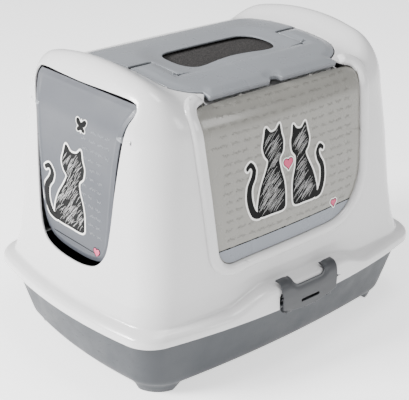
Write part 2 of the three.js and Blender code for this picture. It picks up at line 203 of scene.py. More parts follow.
def mid_height(levels):
    """Height of each level at the middle of a long side."""
    return levels[:, 5] + levels[:, 7] * (arch(levels[:, 0]) - SHOULDER_Z)


fine_below = 122                        # the skirt and its ledge get closer rows
between = (mid_height(control)[1:] + mid_height(control)[:-1]) / 2
HOOD_ROWS = resample(control, mid_height(control), np.where(between < fine_below, 1.5, 4.4))
print("hood rows", len(HOOD_ROWS))

# %% [markdown]
# ## Unrolling the long side
# The panel and its print lie on a wall that curves two ways. They are drawn flat, as on the printer's
# film: y along the wall, and t, the distance up the wall's middle section. `side_point` folds that flat
# drawing back onto the hood, so an outline stays crisp however the wall bends.

# %% Flat drawing to hood surface
mid_x = HOOD_ROWS[:, 0]
mid_z = mid_height(HOOD_ROWS)
HOOD_T = np.concatenate([[0], np.cumsum(np.hypot(np.diff(mid_x), np.diff(mid_z)))])


def up_wall(z):
    """Distance up the wall's middle section at a height."""
    return np.interp(z, mid_z, HOOD_T)


def in_roof(x):
    """Distance up the section where it has turned in to x, above the shoulder."""
    high = mid_z > SHOULDER_Z
    return np.interp(-x, -mid_x[high], HOOD_T[high])


def side_skin(y, t):
    """Point of the hood's skin on the +X side for a flat-drawing point."""
    a, b, bow, z, rise, lift = (np.interp(t, HOOD_T, HOOD_ROWS[:, k]) for k in (0, 1, 2, 5, 6, 7))
    radius = side_radius(b, bow)
    x = a - radius + np.sqrt(radius ** 2 - y ** 2)
    return np.stack([x, y, z + rise * bump(y) + lift * (roof(x, y) - SHOULDER_Z)], -1)


def side_point(y, t, out=0.0):
    """The skin's point moved out along its normal, the cross product of the two surface slopes."""
    h = 0.6
    across = side_skin(y + h, t) - side_skin(y - h, t)
    upward = side_skin(y, t + h) - side_skin(y, t - h)
    normal = np.cross(across, upward)
    normal /= np.linalg.norm(normal, axis=-1, keepdims=True)
    return side_skin(y, t) + normal * np.asarray(out)[..., None]


print("panel wall from", up_wall(149), "to", in_roof(119))

# %% [markdown]
# ## Cutting clean openings
# A boolean leaves ragged slivers in a smooth skin. Here the skin is a grid, and an opening is a signed
# distance: positive on the plastic, negative in the hole. Grid points near zero slide along the surface
# onto the edge, then the faces in the hole are dropped, so the rim follows the outline exactly.

# %% Signed distances and outlines
def outline_distance(points, outline):
    """Distance from points to a closed outline, negative inside. For each edge the nearest point is
    found by projection; inside is decided by counting edge crossings to one side."""
    p = points.reshape(-1, 1, 2)
    a = outline[None]
    edge = np.roll(outline, -1, 0)[None] - a
    away = p - a
    part = np.clip((away * edge).sum(-1) / ((edge * edge).sum(-1) + 1e-12), 0, 1)
    distance = np.sqrt(((away - part[..., None] * edge) ** 2).sum(-1)).min(1)
    high = (a[..., 1] > p[..., 1]) != (a[..., 1] + edge[..., 1] > p[..., 1])
    rise = np.where(np.abs(edge[..., 1]) < 1e-9, 1e-9, edge[..., 1])
    crossing = a[..., 0] + away[..., 1] * edge[..., 0] / rise
    inside = (high & (p[..., 0] < crossing)).sum(1) % 2 == 1
    return np.where(inside, -distance, distance).reshape(points.shape[:-1])


def where_near(points, near, outline):
    """outline_distance where near is true, and a large distance elsewhere."""
    distance = np.full(near.shape, 60.0)
    distance[near] = outline_distance(points[near], outline)
    return distance


def arc(centre, radius, start, stop, count=9):
    """Points of a circular arc, angles in degrees."""
    turn = np.radians(np.linspace(start, stop, count))
    return np.stack([centre[0] + radius * np.cos(turn), centre[1] + radius * np.sin(turn)], 1)


def rounded(corners, radii, count=10):
    """A polygon with each corner replaced with an arc of its radius. The arc starts radius over
    tan(half angle) before the corner, and its centre lies on the angle's bisector."""
    corners = np.array(corners, float)
    pieces = []
    for k, radius in enumerate(radii):
        here = corners[k]
        before = corners[k - 1] - here
        after = corners[(k + 1) % len(corners)] - here
        before /= np.linalg.norm(before)
        after /= np.linalg.norm(after)
        half = math.acos(np.clip(before @ after, -1, 1)) / 2
        middle = before + after
        centre = here + middle / np.linalg.norm(middle) * radius / math.sin(half)
        first = here + before * radius / math.tan(half) - centre
        last = here + after * radius / math.tan(half) - centre
        start = math.atan2(first[1], first[0])
        swing = (math.atan2(last[1], last[0]) - start + math.pi) % (2 * math.pi) - math.pi
        turn = start + swing * np.linspace(0, 1, count)
        pieces.append(centre + radius * np.stack([np.cos(turn), np.sin(turn)], 1))
    return np.vstack(pieces)


def closed_curve(points, steps=6):
    """A smooth closed curve through points (Catmull-Rom: each span is a cubic whose end slopes are half
    the difference of the neighbouring points)."""
    p = np.array(points, float)
    before, after, second = np.roll(p, 1, 0), np.roll(p, -1, 0), np.roll(p, -2, 0)
    t = np.linspace(0, 1, steps, endpoint=False)[None, :, None]
    a, b, c, d = (v[:, None] for v in (before, p, after, second))
    bend = t ** 2 * (2 * a - 5 * b + 4 * c - d) / 2
    curve = b + t * (c - a) / 2 + bend + t ** 3 * (3 * b - a - 3 * c + d) / 2
    return curve.reshape(-1, 2)


# %% Trimming a grid
def trim(grid, field, wrap=False):
    """grid is rows by columns by channels. Points whose field is under 0.6 of one cell's change slide
    down the field's slope onto zero. A cell stays whole with no negative corner; a cell with one
    negative corner between two edge points keeps its other half. Returns the points and faces."""
    def slope(values, axis):
        if wrap and axis == 1:
            return (np.roll(values, -1, 1) - np.roll(values, 1, 1)) / 2
        return np.gradient(values, axis=axis)

    grid = grid.copy()
    f = field(grid)
    f_row, f_col = slope(f, 0), slope(f, 1)
    g_row, g_col = slope(grid, 0), slope(grid, 1)
    near = np.abs(f) <= 0.6 * np.maximum(np.abs(f_row), np.abs(f_col))
    steep = f_row ** 2 + f_col ** 2 + 1e-9
    for _ in range(3):
        step = np.where(near, f / steep, 0)
        row_step = np.clip(step * f_row, -0.7, 0.7)[..., None]
        col_step = np.clip(step * f_col, -0.7, 0.7)[..., None]
        grid -= row_step * g_row + col_step * g_col
        f = field(grid)
    sign = np.where(near, 0, np.sign(f)).ravel()
    quads = cells(grid.shape[:2], wrap)
    corner = sign[quads]
    middle = field(grid.reshape(-1, grid.shape[-1])[quads].mean(1)[None])[0]
    negative = (corner < 0).sum(1)
    whole = quads[(negative == 0) & ((corner > 0).any(1) | (middle > 0))]
    lone = np.nonzero(negative == 1)[0]
    order = (corner[lone].argmin(1)[:, None] + np.arange(1, 4)) % 4
    three = np.take_along_axis(quads[lone], order, 1)
    signs = sign[three]
    kept = (signs[:, 0] == 0) & (signs[:, 2] == 0) & (signs[:, 1] > 0)
    return grid, [whole, three[kept]]


def cells(shape, wrap=False):
    """Quads of a grid, facing the side that (columns cross rows) points to."""
    index = np.arange(shape[0] * shape[1]).reshape(shape)
    here = index if wrap else index[:, :-1]
    beside = np.roll(index, -1, 1) if wrap else index[:, 1:]
    return np.stack([here[:-1], beside[:-1], beside[1:], here[1:]], -1).reshape(-1, 4)


def closed_cells(shape):
    """Quads of a wrapped grid, and a fan at each end to a pole point kept after the grid's points."""
    size = shape[0] * shape[1]
    count = shape[1]
    loop = np.arange(count)
    ahead = (loop + 1) % count
    low = np.stack([np.full(count, size), ahead, loop], 1)
    high = np.stack([np.full(count, size + 1), size - count + loop, size - count + ahead], 1)
    return [cells(shape, True), low, high]


def flat_grid(low, high, spacing):
    """An even two-channel grid over a rectangle, first channel along the columns."""
    u = np.linspace(low[0], high[0], int((high[0] - low[0]) / spacing) + 2)
    v = np.linspace(low[1], high[1], int((high[1] - low[1]) / spacing) + 2)
    return np.stack(np.meshgrid(u, v), -1)


# %% From arrays to objects
def shape_object(name, points, faces, material, body):
    """One mesh object in metres. Unused points are left out, and it rides on a body of the frame."""
    name = name.replace(" ", "_")
    points = points.reshape(-1, 3)
    used = np.unique(np.concatenate([f.ravel() for f in faces]))
    place = np.zeros(len(points), int)
    place[used] = np.arange(len(used))
    mesh = bpy.data.meshes.new(name)
    mesh.from_pydata((points[used] / 1000).tolist(), [], [q for f in faces for q in place[f].tolist()])
    mesh.polygons.foreach_set("use_smooth", np.ones(len(mesh.polygons), bool))
    mesh.materials.append(material)
    mesh.update()
    piece = bpy.data.objects.new(name, mesh)
    bpy.context.collection.objects.link(piece)
    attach(piece, body)
    print(name, len(mesh.polygons), "faces")
    return piece


def thicken(piece, wall, edge=0.6, segments=2):
    """Wall thickness inwards, then rounded edges, then normals weighted to the large faces."""
    solid = piece.modifiers.new("Wall", "SOLIDIFY")
    solid.thickness = wall / 1000
    solid.offset = -1
    if edge:
        soft = piece.modifiers.new("Edge", "BEVEL")
        soft.limit_method = "ANGLE"
        soft.angle_limit = math.radians(48)
        soft.width = edge / 1000
        soft.segments = segments
        soft.use_clamp_overlap = False
    piece.modifiers.new("Shading", "WEIGHTED_NORMAL")


def lathe(profile, centre, axis, count=32):
    """A turned solid. profile is (radius, distance along the axis) from pole to pole; both ends are
    closed with a fan. axis 0 turns round X, 1 round Y, 2 round Z. Returns points and faces."""
    profile = np.array(profile, float)
    turn = np.linspace(0, 2 * np.pi, count, endpoint=False)
    radial = profile[:, :1, None] * np.stack([np.cos(turn), np.sin(turn)], -1)[None]
    points = np.zeros((len(profile), count, 3))
    first, second = [(1, 2), (2, 0), (0, 1)][axis]
    points[..., first] = radial[..., 0]
    points[..., second] = radial[..., 1]
    points[..., axis] = profile[:, 1:]
    ends = np.zeros((2, 3))
    ends[:, axis] = profile[[0, -1], 1]
    everything = np.vstack([points.reshape(-1, 3), ends]) + np.array(centre)
    return everything, closed_cells((len(profile), count))


def joined(solids):
    """Several (points, faces) pairs as one."""
    start = 0
    points = []
    faces = []
    for some, sets in solids:
        points.append(some.reshape(-1, 3))
        faces += [f + start for f in sets]
        start += len(points[-1])
    return np.vstack(points), faces


def round_pin(radius, start, stop, edge=0.6):
    """Profile of a pin with a small round at each end."""
    return [(radius - edge, start), (radius - edge * 0.3, start + edge * 0.3), (radius, start + edge),
            (radius, stop - edge), (radius - edge * 0.3, stop - edge * 0.3), (radius - edge, stop)]


# %% [markdown]
# ## Finishes
# Moulded plastic is never one flat colour: the melt leaves slow cloudy changes, handling leaves patches
# that shine differently and hair-fine scratches, and the tool's texture gives a grain. One function
# builds all of that from noise in object coordinates, and each piece's recipe only sets how much.

# %% A moulded plastic recipe
def link(tree, source, target):
    """Joins an output socket to an input socket."""
    tree.links.new(source, target)


def noise(tree, scale, detail=3.0, stretch=(1, 1, 1), turn=(0, 0, 0)):
    """Noise in object coordinates, in cycles per metre, stretched and turned when asked."""
    place = tree.nodes.new("ShaderNodeTexCoord")
    mapping = tree.nodes.new("ShaderNodeMapping")
    mapping.inputs["Scale"].default_value = stretch
    mapping.inputs["Rotation"].default_value = turn
    texture = tree.nodes.new("ShaderNodeTexNoise")
    texture.inputs["Scale"].default_value = scale
    texture.inputs["Detail"].default_value = detail
    link(tree, place.outputs["Object"], mapping.inputs["Vector"])
    link(tree, mapping.outputs["Vector"], texture.inputs["Vector"])
    return texture.outputs["Fac"]


def between_values(tree, value, from_low, from_high, to_low, to_high):
    """Value moved from one range to another, held inside it."""
    remap = tree.nodes.new("ShaderNodeMapRange")
    for name, number in (("From Min", from_low), ("From Max", from_high),
                         ("To Min", to_low), ("To Max", to_high)):
        remap.inputs[name].default_value = number
    link(tree, value, remap.inputs["Value"])
    return remap.outputs["Result"]


def total(tree, first, second, kind="ADD"):
    """Sum, or another simple operation, of two values."""
    maths = tree.nodes.new("ShaderNodeMath")
    maths.operation = kind
    link(tree, first, maths.inputs[0])
    link(tree, second, maths.inputs[1])
    return maths.outputs[0]


def blend_colours(tree, factor, dark, light):
    """Colour between dark and light."""
    mix = tree.nodes.new("ShaderNodeMix")
    mix.data_type = "RGBA"
    mix.inputs[6].default_value = (*dark, 1)
    mix.inputs[7].default_value = (*light, 1)
    link(tree, factor, mix.inputs[0])
    return mix.outputs[2]


def bumped(tree, height, distance, strength=1.0, under=None):
    """A bump layer over another one."""
    layer = tree.nodes.new("ShaderNodeBump")
    layer.inputs["Distance"].default_value = distance
    layer.inputs["Strength"].default_value = strength
    link(tree, height, layer.inputs["Height"])
    if under is not None:
        link(tree, under, layer.inputs["Normal"])
    return layer.outputs["Normal"]


def plastic(name, colour, cloud=0.03, rough=0.3, uneven=0.08, grain=0.00002, grain_scale=2600,
            wave=0.0001, coat=0.0, scratch=0.1, settings=()):
    """Moulded plastic: cloudy colour, patchy roughness with scratches, and grain over slow waves."""
    material = bpy.data.materials.new(name)
    material.use_nodes = True
    tree = material.node_tree
    shader = tree.nodes["Principled BSDF"]
    dark = tuple(c * (1 - cloud) for c in colour)
    light = tuple(min(1, c * (1 + cloud)) for c in colour)
    clouds = between_values(tree, noise(tree, 16, 4), 0.3, 0.7, 0, 1)
    link(tree, blend_colours(tree, clouds, dark, light), shader.inputs["Base Color"])
    patches = between_values(tree, noise(tree, 34, 6), 0.32, 0.7, rough - uneven / 2, rough + uneven / 2)
    hairs = noise(tree, 90, 2, stretch=(1, 14, 1.5), turn=(0.4, 0.9, 0.6))
    scratches = between_values(tree, hairs, 0.66, 0.72, 0, scratch)
    link(tree, total(tree, patches, scratches), shader.inputs["Roughness"])
    waves = bumped(tree, noise(tree, 11, 1), wave, 0.6)
    fine = bumped(tree, noise(tree, grain_scale, 3), grain, 0.7, under=waves)
    link(tree, fine, shader.inputs["Normal"])
    shader.inputs["Coat Weight"].default_value = coat
    shader.inputs["Coat Roughness"].default_value = 0.08
    for socket, value in settings:
        shader.inputs[socket].default_value = value
    return material


# %% The finishes of this pan
WHITE = plastic("glossy white moulded plastic", (0.62, 0.615, 0.615), 0.012, 0.22, 0.1, 0.00001, 2200,
                0.00035, coat=0.35, scratch=0.12, settings=[("Specular IOR Level", 0.5)])
PAN_GREY = plastic("grained grey pan plastic", (0.042, 0.046, 0.052), 0.06, 0.44, 0.14, 0.00005, 1900,
                   0.0003, scratch=0.16, settings=[("Specular IOR Level", 0.25)])
CLIP_GREY = plastic("satin grey clip plastic", (0.042, 0.044, 0.048), 0.05, 0.36, 0.12, 0.00003, 2400,
                    0.00015, scratch=0.12, settings=[("Specular IOR Level", 0.35)])
TOP_GREY = plastic("light grey lid plastic", (0.185, 0.195, 0.21), 0.04, 0.3, 0.12, 0.00002, 2400,
                   0.0002, coat=0.15, scratch=0.14)
PRINT_BASE = plastic("beige grey printed film", (0.212, 0.207, 0.186), 0.03, 0.27, 0.1, 0.00001, 2600,
                     0.0002, coat=0.25)
STRIP_BLUE = plastic("blue grey printed strip", (0.19, 0.207, 0.235), 0.03, 0.3, 0.1, 0.00001, 2600, 0.0001)
SCRIPT_GREY = plastic("faint grey print", (0.155, 0.15, 0.133), 0.05, 0.34, 0.08, 0.00001, 2600, 0.0001)
INK = plastic("black print ink", (0.0012, 0.0012, 0.0014), 0.2, 0.5, 0.1, 0.00001, 2600, 0.0001,
              settings=[("Specular IOR Level", 0.1)])
PALE_INK = plastic("pale print ink", (0.80, 0.79, 0.76), 0.03, 0.34, 0.1, 0.00001, 2600, 0.0001)
HATCH_INK = plastic("grey fur print", (0.40, 0.395, 0.39), 0.1, 0.36, 0.1, 0.00001, 2600, 0.0001)
PINK_INK = plastic("pink print ink", (0.50, 0.035, 0.12), 0.06, 0.34, 0.1, 0.00001, 2600, 0.0001)
FLAP_PRINT = plastic("faint print on the flap", (0.14, 0.15, 0.165), 0.05, 0.34, 0.1, 0.00001, 2600, 0.0001)
PIN_GREY = plastic("grey moulded pin", (0.16, 0.17, 0.18), 0.06, 0.45, 0.12, 0.00004, 2200, 0.0001)
print("finishes", len(bpy.data.materials))

# %% [markdown]
# ## The smoky flap's plastic
# The flap is moulded from tinted, slightly see-through plastic. Light that reaches it from behind and
# above makes its top paler. A little transmission gives the depth, and that light is painted into the
# colour, which runs from a darker foot to a paler head with height.

# %% Smoke plastic and foam
def smoke(name, foot, head, low_z, high_z):
    """Tinted plastic with painted light: its colour turns paler with height."""
    material = plastic(name, foot, 0.03, 0.42, 0.12, 0.00001, 2400, 0.00025, coat=0.1, scratch=0.14,
                       settings=[("Transmission Weight", 0.08), ("IOR", 1.49),
                                 ("Specular IOR Level", 0.25)])
    tree = material.node_tree
    place = tree.nodes.new("ShaderNodeTexCoord")
    axes = tree.nodes.new("ShaderNodeSeparateXYZ")
    link(tree, place.outputs["Object"], axes.inputs[0])
    # painted light: the colour turns paler with height, for light from behind and above; random clouds are
    # added to it
    height = between_values(tree, axes.outputs["Z"], low_z, high_z, 0, 0.85)
    cloudy = total(tree, height, between_values(tree, noise(tree, 22, 3), 0.3, 0.7, 0, 0.15))
    link(tree, blend_colours(tree, cloudy, foot, head), tree.nodes["Principled BSDF"].inputs["Base Color"])
    return material


# the flap's paler head colour is painted light
SMOKE = smoke("smoky flap plastic", (0.055, 0.060, 0.072), (0.115, 0.12, 0.132), 0.24, 0.345)


def foam(name):
    """Open-cell foam: painted shade darkens each cell's hollow between paler struts, with specks of carbon,
    all from one cell noise.
    """
    material = bpy.data.materials.new(name)
    material.use_nodes = True
    tree = material.node_tree
    shader = tree.nodes["Principled BSDF"]
    place = tree.nodes.new("ShaderNodeTexCoord")
    cell = tree.nodes.new("ShaderNodeTexVoronoi")
    cell.inputs["Scale"].default_value = 620
    link(tree, place.outputs["Object"], cell.inputs["Vector"])
    pore_shade_and_relief = total(tree, cell.outputs["Distance"], noise(tree, 300, 5), "MULTIPLY")
    # painted shade: each cell's hollow comes out darker than the struts round it, over the foam's own
    # near-black colour
    shade = between_values(tree, pore_shade_and_relief, 0.08, 0.4, 0, 1)
    colour = blend_colours(tree, shade, (0.002, 0.002, 0.002), (0.022, 0.019, 0.018))
    link(tree, colour, shader.inputs["Base Color"])
    link(tree, between_values(tree, noise(tree, 200, 2), 0.3, 0.7, 0.85, 1.0), shader.inputs["Roughness"])
    link(tree, bumped(tree, pore_shade_and_relief, 0.0012), shader.inputs["Normal"])
    return material


FOAM = foam("carbon foam")

# %% [markdown]
# ## The hood
# The skin is one grid wrapped round the hood from the skirt's edge up over the shoulder to the roof.
# Four openings are trimmed from it: the flap's doorway, the panel's side opening, the roof well, and a
# notch in the skirt for each clip. Then it gets its real wall thickness of 2.8 mm.

# %% Outlines of the openings
GAP = 1.2
LIP_X = GRIP_HIGH[0]
LIP_Y = 99
WELL_Y = GRIP_HIGH[1] - 4               # the handle's pins reach 4 mm past its outline
WELL_BACK = LID_LOW[0]
WELL_FRONT = 109
WALL = 2.8


def plan_outline(grow, back_radius):
    """Lid-and-handle outline from above: wide front corners, small back ones, and the lip in front."""
    big = 46 + grow
    small = back_radius + grow
    cx, cy = WELL_FRONT + grow - big, WELL_Y + grow - big
    bx, by = WELL_BACK - grow + small, WELL_Y + grow - small
    leave = math.degrees(math.asin((LIP_Y + grow - cy) / big))
    front = arc((cx, cy), big, leave, 90)
    back = arc((bx, by), small, 90, 180)
    half = np.vstack([[LIP_X + grow, LIP_Y + grow], front, back])
    return np.vstack([half, half[::-1] * [1, -1]])


half_door = [(30, 142.5), (52, 149), (66, 166), (72, 194), (77, 240), (82, 282), (86, 305), (91, 322),
             (98, 337), (92, 346), (70, 349), (35, 350)]
DOORWAY = closed_curve([(0, 141)] + half_door + [(0, 350)] + [(-x, z) for x, z in half_door[::-1]], 4)
panel_half_top = [(101, in_roof(LIP_X - 3)), (107, in_roof(121.5)), (126.5, in_roof(126.5))]
PANEL_HOLE = rounded([(-y, t) for y, t in panel_half_top]
                     + [(-126, up_wall(318)), (-113.5, up_wall(149))]
                     + [(119.5, up_wall(154)), (126, up_wall(318))]
                     + panel_half_top[::-1], [0.5, 2.5, 15, 60, 22, 68, 60, 15, 2.5, 0.5], 9)
WELL_HOLE = plan_outline(GAP, 14)
CLIP_HALF = CLIP_HIGH[1]
NOTCH_X = 175.6
NOTCH_TOP = 105


def hood_field(q):
    """Distance to the nearest opening. q holds x, y, z and the flat-drawing distance t."""
    x, y, z, t = (q[..., k] for k in range(4))
    doorway = where_near(q[..., [0, 2]], (y < -150) & (np.abs(x) < 125), DOORWAY)
    panel = where_near(q[..., [1, 3]], (x > 90) & (np.abs(y) < 165), PANEL_HOLE)
    well = where_near(q[..., [0, 1]], z > 310, WELL_HOLE)
    notch = np.maximum(np.maximum(np.abs(y) - CLIP_HALF - 0.6, NOTCH_X - np.abs(x)), z - NOTCH_TOP)
    return np.minimum(np.minimum(doorway, panel), np.minimum(well, notch))


# %% Hood skin
hood_x, hood_y = ring(HOOD_ROWS)
hood_z = HOOD_ROWS[:, 5:6] + HOOD_ROWS[:, 6:7] * bump(hood_y)
hood_z = hood_z + HOOD_ROWS[:, 7:8] * (roof(hood_x, hood_y) - SHOULDER_Z)
hood_t = np.broadcast_to(HOOD_T[:, None], hood_x.shape)
hood_grid, hood_faces = trim(np.stack([hood_x, hood_y, hood_z, hood_t], -1), hood_field, wrap=True)
hood = shape_object("hood", hood_grid[..., :3], hood_faces, WHITE, "hood")
thicken(hood, WALL, 0.8)
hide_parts("hood_shell")

# %% [markdown]
# ## The raised trim round the side opening
# On the real hood a white band frames the panel and stands about 3 mm proud, so the panel looks sunk.
# It is a cross-section swept along the opening's edge in the flat drawing and folded onto the wall.

# %% Trim band
def sweep_flat(path, section, ends_fade=0.0):
    """section is (distance outwards from the path, height off the wall). The path's normals come from
    its slopes. Towards the path's ends the height sinks under the skin over ends_fade millimetres."""
    slope = np.gradient(path, axis=0)
    slope /= np.linalg.norm(slope, axis=1, keepdims=True)
    outward = np.stack([slope[:, 1], -slope[:, 0]], 1)
    length = np.concatenate([[0], np.cumsum(np.linalg.norm(np.diff(path, axis=0), axis=1))])
    flat = path[None] + section[:, 0, None, None] * outward[None]
    show = np.ones(len(path))
    if ends_fade:
        show = smooth(length / ends_fade) * smooth((length[-1] - length) / ends_fade)
    height = section[:, 1, None] * show - 1.2 * (1 - show)
    return side_point(flat[..., 0], flat[..., 1], height)


def even_path(points, spacing):
    """The same path with evenly spaced points."""
    length = np.concatenate([[0], np.cumsum(np.linalg.norm(np.diff(points, axis=0), axis=1))])
    wanted = np.linspace(0, length[-1], int(length[-1] / spacing) + 2)
    return np.stack([np.interp(wanted, length, points[:, k]) for k in range(2)], 1)


top_points = 9
band_path = even_path(PANEL_HOLE[top_points:-top_points], 2.4)
band_section = np.array([
    (-0.1, -2.6), (-0.1, 0.4), (0.25, 1.3), (1.3, 2.5), (3.2, 3.2), (4.8, 3.45),
    (8.4, 3.4), (10.0, 3.0), (11.3, 2.0), (12.0, 0.8), (12.2, -0.4), (12.2, -1.6)])
band_points = sweep_flat(band_path, band_section, 7)
band = shape_object("panel trim", band_points, [cells(band_points.shape[:2])], WHITE, "hood")
thicken(band, 1.0, 0)
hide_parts("hood_shell")

# %% Roof well: walls, and a floor with air slots under the foam
WELL_DEPTH = 14
well_path = even_path(np.vstack([WELL_HOLE, WELL_HOLE[:1]]), 4.0)[:-1]
wx, wy = well_path.T
at_lip = smooth((wx - 107.4) / 1.4) * (np.abs(wy) < 101)
well_top = np.where(at_lip > 0.5, arch(wx) - 9, roof(wx, wy) - 1.4)
well_low = arch(wx) - WELL_DEPTH
down = np.linspace(0, 1, 8)[:, None]
well_walls = np.stack([np.broadcast_to(wx, (8, len(wx))), np.broadcast_to(wy, (8, len(wx))),
                       well_top * (1 - down) + well_low * down], -1)
walls = shape_object("roof well walls", well_walls, [cells(well_walls.shape[:2], True)], WHITE, "hood")
thicken(walls, 2.2, 0.5)


def well_floor_field(q):
    """Inside the well's outline and outside seven round-ended air slots across the middle."""
    x, y = q[..., 0], q[..., 1]
    across = (y + 10) % 20 - 10
    beyond = np.maximum(np.abs(x - 18) - 20, 0)
    slots = np.where(np.abs(y) < 70, np.hypot(beyond, across) - 4.5, 20)
    return np.minimum(1.6 - outline_distance(q, WELL_HOLE), slots)


floor_grid, floor_faces = trim(flat_grid((WELL_BACK - 4, -136), (LIP_X + 4, 136), 2.6), well_floor_field)
floor_z = arch(floor_grid[..., 0]) - WELL_DEPTH
well_floor = shape_object("roof well floor", np.dstack([floor_grid, floor_z]), floor_faces, WHITE, "hood")
thicken(well_floor, 2.4, 0.4)
for piece in (walls, well_floor):
    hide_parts("hood_shell")

# %% Bosses that carry the flap's pins
AXLE_Y = -190.5
AXLE_Z = 305
boss_ring = [(2.6, 88.5), (3.0, 88.5), (3.15, 88.8), (3.15, 97.7), (3.0, 98), (2.6, 98), (2.6, 88.5)]


def tube(profile, centre, axis, count=32):
    """A turned ring whose profile closes on itself, so it needs no end fans."""
    points, faces = lathe(profile, centre, axis, count)
    return points[:-2], [faces[0]]


def mirrored(solid, flip=(-1, 1, 1)):
    """The same solid across a middle plane, its faces turned round so they still point outwards."""
    points, faces = solid
    return points * flip, [f[:, ::-1] for f in faces]


boss = tube(boss_ring, (0, AXLE_Y, AXLE_Z), 0)
bosses = shape_object("flap pin bosses", *joined([boss, mirrored(boss)]), WHITE, "hood")
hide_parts("hood_shell")

# %% [markdown]
# ## The flip-up panel
# It is the same wall continued across the opening, with a 1.2 mm gap, so its skin is the flat drawing's
# grid folded onto the wall. Two hooks on its top edge hang over the hood's rim and act as its hinge.

# %% Panel skin and hooks
PANEL_SINK = 0.5
TOP_SINK = 4.0                          # the panel dips under the lip of the handle


def panel_sink(t):
    """How far the panel's face lies under the hood's skin: a little, and more towards its top edge."""
    return PANEL_SINK + TOP_SINK * smooth((t - in_roof(135)) / (in_roof(119) - in_roof(135)))


def panel_field(q):
    """Inside the opening, less the gap, and clear of the handle's lip."""
    behind_lip = side_skin(q[..., 0], q[..., 1])[..., 0] - LIP_X - 1.6
    return np.minimum(-outline_distance(q, PANEL_HOLE) - GAP, behind_lip)


panel_grid, panel_faces = trim(
    flat_grid((-128, up_wall(147)), (128, in_roof(118)), 2.2), panel_field)
edge_distance = panel_field(panel_grid)
panel_points = side_point(panel_grid[..., 0], panel_grid[..., 1],
                          -panel_sink(panel_grid[..., 1]) - 0.5 * smooth(1 - edge_distance / 5))
panel = shape_object("flip panel", panel_points, panel_faces, PRINT_BASE, "panel")
thicken(panel, WALL - 0.6, 0.7)
HINGE_X = 119.6
hinge_z = arch(HINGE_X) - 1
sweep = np.radians(np.linspace(-62, -90, 12))
HOOK_RADIUS = 11.4
HOOK_GRID = (12, 6)
hook_out = np.stack([HINGE_X + HOOK_RADIUS * np.cos(sweep), hinge_z + HOOK_RADIUS * np.sin(sweep)], 1)


def hook(y):
    """A curved tongue 14 mm wide under the panel's top edge."""
    across = np.linspace(y + 7, y - 7, 6)
    x = np.broadcast_to(hook_out[:, :1], HOOK_GRID)
    z = np.broadcast_to(hook_out[:, 1:], HOOK_GRID)
    points = np.stack([x, np.broadcast_to(across, HOOK_GRID), z], -1)
    return points, [cells(HOOK_GRID)]


hooks = shape_object("panel hooks", *joined([hook(-70), hook(70)]), PRINT_BASE, "panel")
thicken(hooks, 2.2, 0.4)
for piece in (panel, hooks):
    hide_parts("flip_panel")

# %% [markdown]
# ## The print
# The panel and the flap carry a printed picture. Here it is a picture of its own: two plain sitting
# cats, hearts, a butterfly, a strip and rows of squiggles that are not letters. Each colour is a film
# 0.1 mm thick, trimmed from a fine grid in the flat drawing, so its edges are as sharp as ink.

# %% Drawing tools
FILM = 0.1
STROKE_FILM = 0.08
PALE_RIM = 2.3                          # width of the pale rim round a cat
DARK_RIM = 0.9


def film(name, field, area, spacing, layer, ink, face):
    """A film over a flat area where field is positive. face says how it folds on, its body and its node."""
    place, body, node = face
    grid, faces = trim(flat_grid(*area, spacing), field)
    piece = shape_object(name, place(grid[..., 0], grid[..., 1], layer), faces, ink, body)
    thicken(piece, FILM, 0)
    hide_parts(node)


def strokes(name, paths, width, layer, ink, face):
    """Pen strokes: paths is strokes by points by two. Each becomes a ribbon that tapers to its ends."""
    place, body, node = face
    slope = np.gradient(paths, axis=1)
    slope /= np.linalg.norm(slope, axis=-1, keepdims=True) + 1e-9
    beside = np.stack([-slope[..., 1], slope[..., 0]], -1)
    count = paths.shape[1]
    taper = 0.25 + 0.75 * np.sin(np.linspace(0.12, 0.95, count) * np.pi) ** 0.5
    half = width / 2 * taper[None, :, None]
    ribbon = np.stack([paths + beside * half, paths - beside * half], 1)
    points = place(ribbon[..., 0], ribbon[..., 1], layer)
    quads = cells((2, count))
    if np.cross(points[0, 0, 1] - points[0, 0, 0], points[0, 1, 0] - points[0, 0, 0]) @ OUTWARD[body] < 0:
        quads = quads[:, ::-1]
    faces = (quads[None] + (np.arange(len(paths)) * 2 * count)[:, None, None]).reshape(-1, 4)
    piece = shape_object(name, points, [faces], ink, body)
    thicken(piece, STROKE_FILM, 0)
    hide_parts(node)


OUTWARD = {"panel": np.array([1.0, 0, 0]), "door": np.array([0, -1.0, 0])}
sitting_cat = closed_curve([
    (8, 0), (5, 12), (6, 32), (11, 50), (12, 62), (6.5, 70), (5, 82), (7.5, 91), (10, 103), (16, 97),
    (24, 96), (31, 102.5), (34.5, 91), (37, 80), (34.5, 70), (30, 63), (34, 52), (42, 36),
    (47, 20), (48.5, 7), (44, -0.5), (26, -1)])
tail_line = closed_curve([
    (44, 4), (51, 9), (55.5, 22), (55.5, 37), (50, 48), (48.5, 59), (55, 68), (62.5, 63),
    (61, 58.5), (56.5, 61.5), (54, 57.5), (56.5, 50), (62.5, 39), (63.5, 21), (57, 3), (46, -1.5)])
turn = np.linspace(0, 2 * np.pi, 48, endpoint=False)
heart_high = 13 * np.cos(turn) - 5 * np.cos(2 * turn) - 2 * np.cos(3 * turn) - np.cos(4 * turn)
heart = np.stack([16 * np.sin(turn) ** 3, heart_high], 1) / 17


def moved(outline, scale, shift):
    """Outline scaled (a negative scale mirrors it) and shifted."""
    return outline * np.array(scale) + np.array(shift)


def filled(outlines, grow=0.0):
    """Field of the union of outlines, grown."""
    def field(q):
        return np.max([grow - outline_distance(q, o) for o in outlines], axis=0)
    return field


